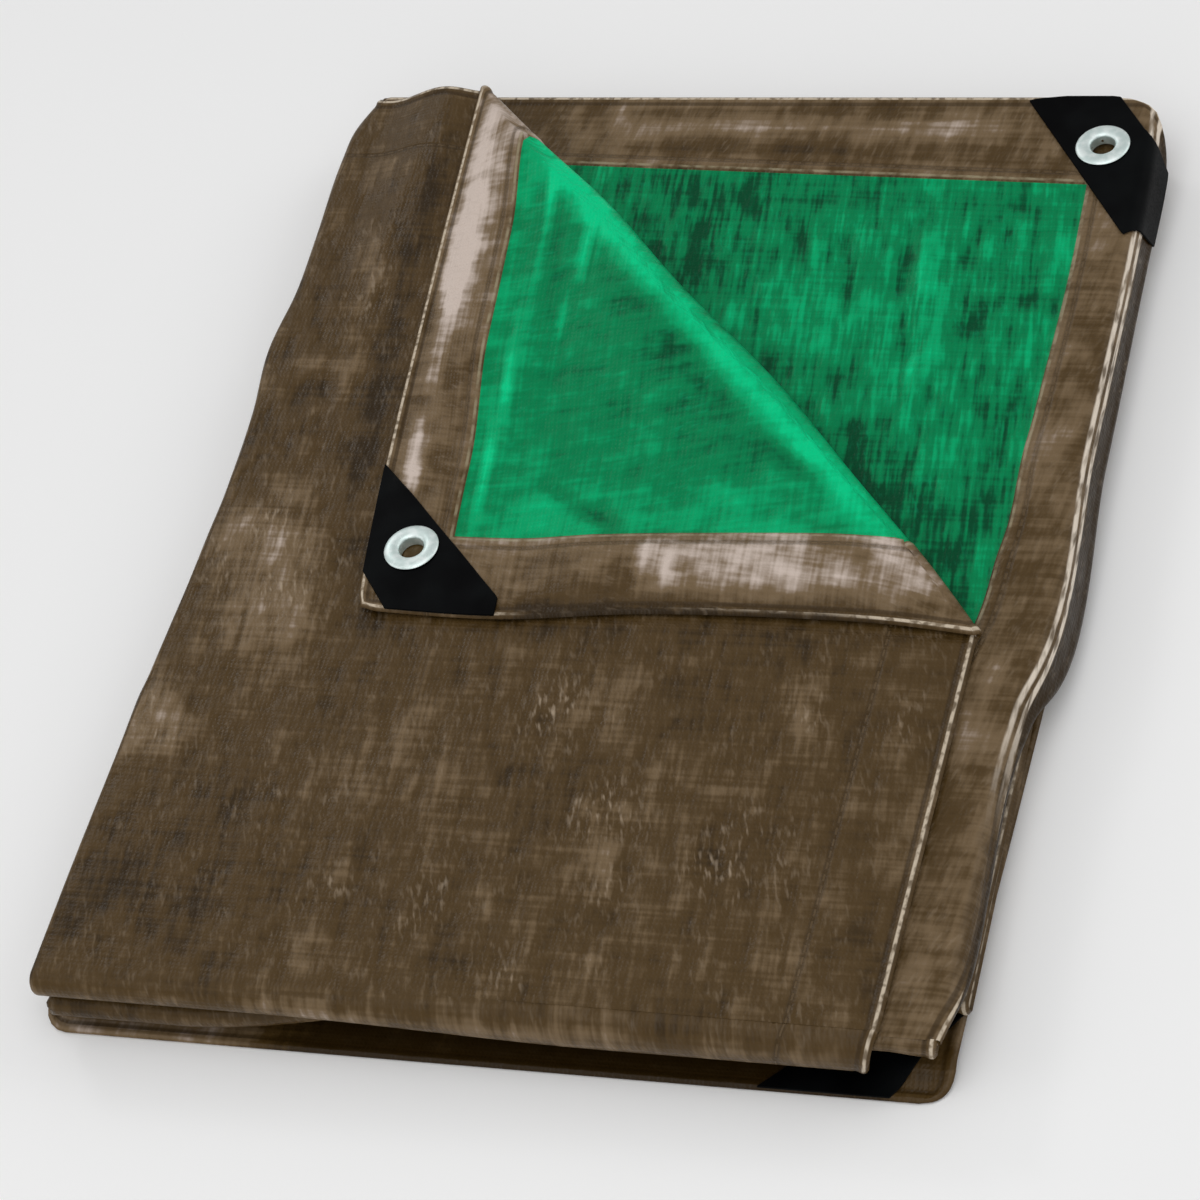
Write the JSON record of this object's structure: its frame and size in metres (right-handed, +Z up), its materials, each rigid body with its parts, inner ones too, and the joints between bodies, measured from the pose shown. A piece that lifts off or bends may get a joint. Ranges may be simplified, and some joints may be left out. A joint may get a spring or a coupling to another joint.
{
  "type": "folded poly tarp",
  "caption": "Woven poly tarp folded to a flat packet, one corner turned back to show its green inner face, with black corner patches and metal eyelets.",
  "frame": {"origin": "middle of the underside, on the surface that the packet rests on", "axes": "+Y along the packet's longer side from its front fold to its back, +X from its left fold to the free right edges, +Z up"},
  "size_m": [0.3896, 0.504, 0.0498],
  "materials": {
    "sheet": "satin coated woven polyethylene, brown outside and green inside",
    "patch": "smooth black polyethylene, semi-matt",
    "eyelet": "stamped and rolled, satin bright"
  },
  "bodies": {
    "root": {"tarp": "sheet", "flap_patch": "patch", "back_patch": "patch", "end_patch": "patch", "flap_eyelet": "eyelet", "back_eyelet": "eyelet"}
  },
  "joints": []
}
